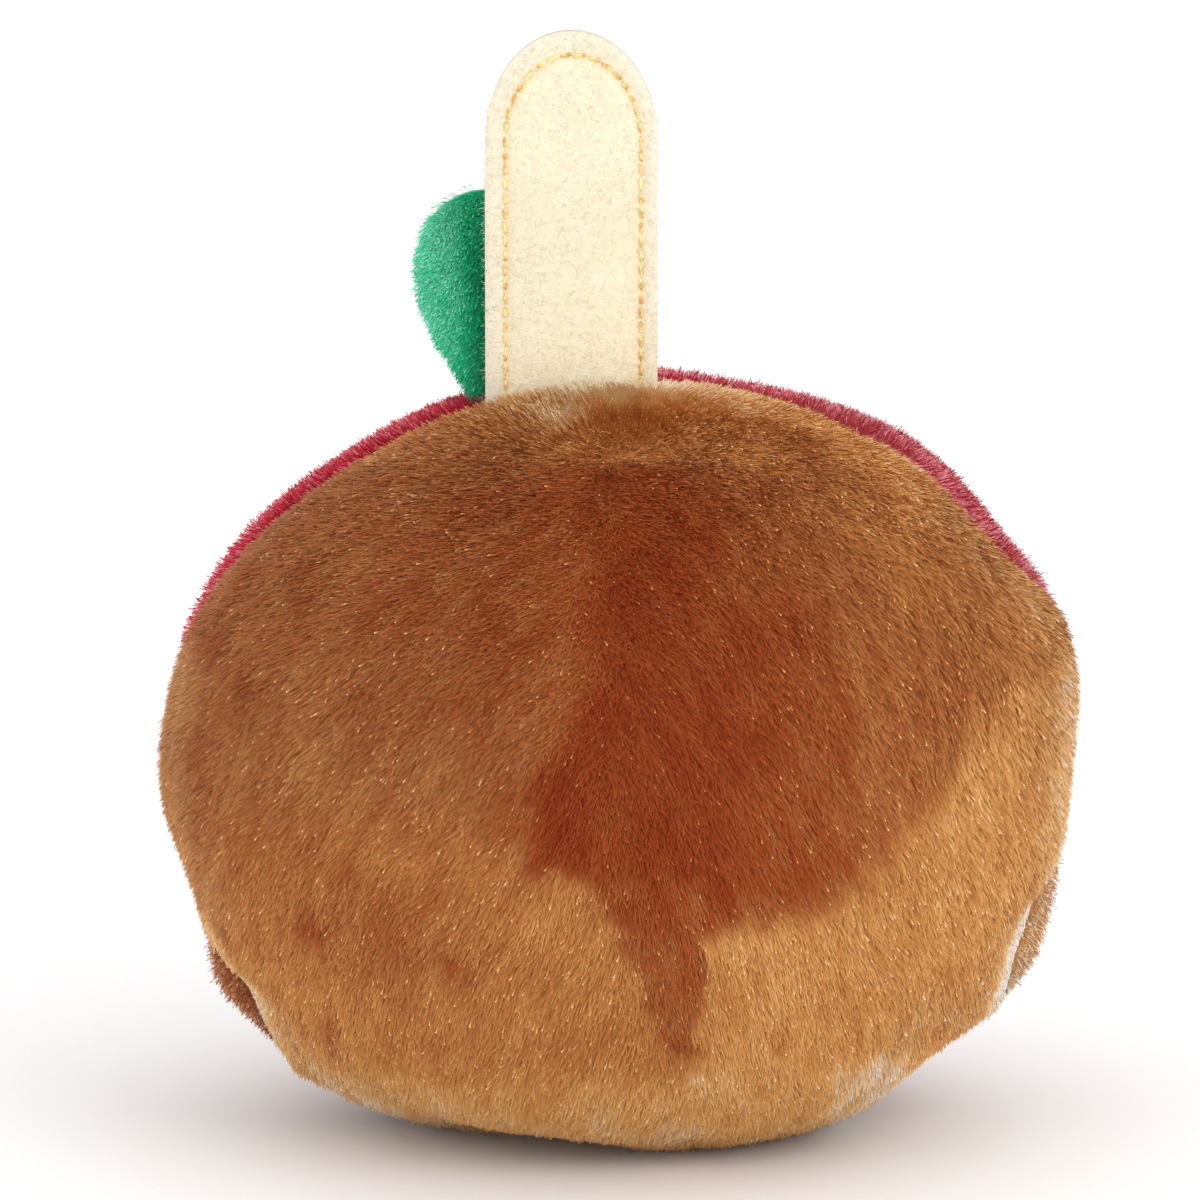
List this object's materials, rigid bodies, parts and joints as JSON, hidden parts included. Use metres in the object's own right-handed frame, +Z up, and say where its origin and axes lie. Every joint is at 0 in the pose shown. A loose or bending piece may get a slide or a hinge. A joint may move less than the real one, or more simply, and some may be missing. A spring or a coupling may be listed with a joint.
{
  "type": "plush caramel apple toy",
  "caption": "Stuffed plush ball with long-pile caramel back and lower front, short-pile red upper front, flat felt stick with a rounded top and a green plush leaf.",
  "frame": {"origin": "on the floor, at the middle of the object's box", "axes": "+Z up along the stick, -Y towards the all-caramel back that the picture shows, +Y towards the red upper front, +X to the right as seen from the back"},
  "size_m": [0.104, 0.094, 0.1269],
  "materials": {
    "caramel_pile": "long soft caramel-brown plush pile",
    "red_pile": "short dense red plush pile",
    "cream_felt": "cream felt with golden topstitching",
    "green_pile": "short glossy green plush pile"
  },
  "bodies": {
    "root": {"caramel_back_left": "caramel_pile", "caramel_back_right": "caramel_pile", "caramel_front": "caramel_pile", "apple_front": "red_pile", "stick": "cream_felt", "leaf": "green_pile"}
  },
  "joints": []
}
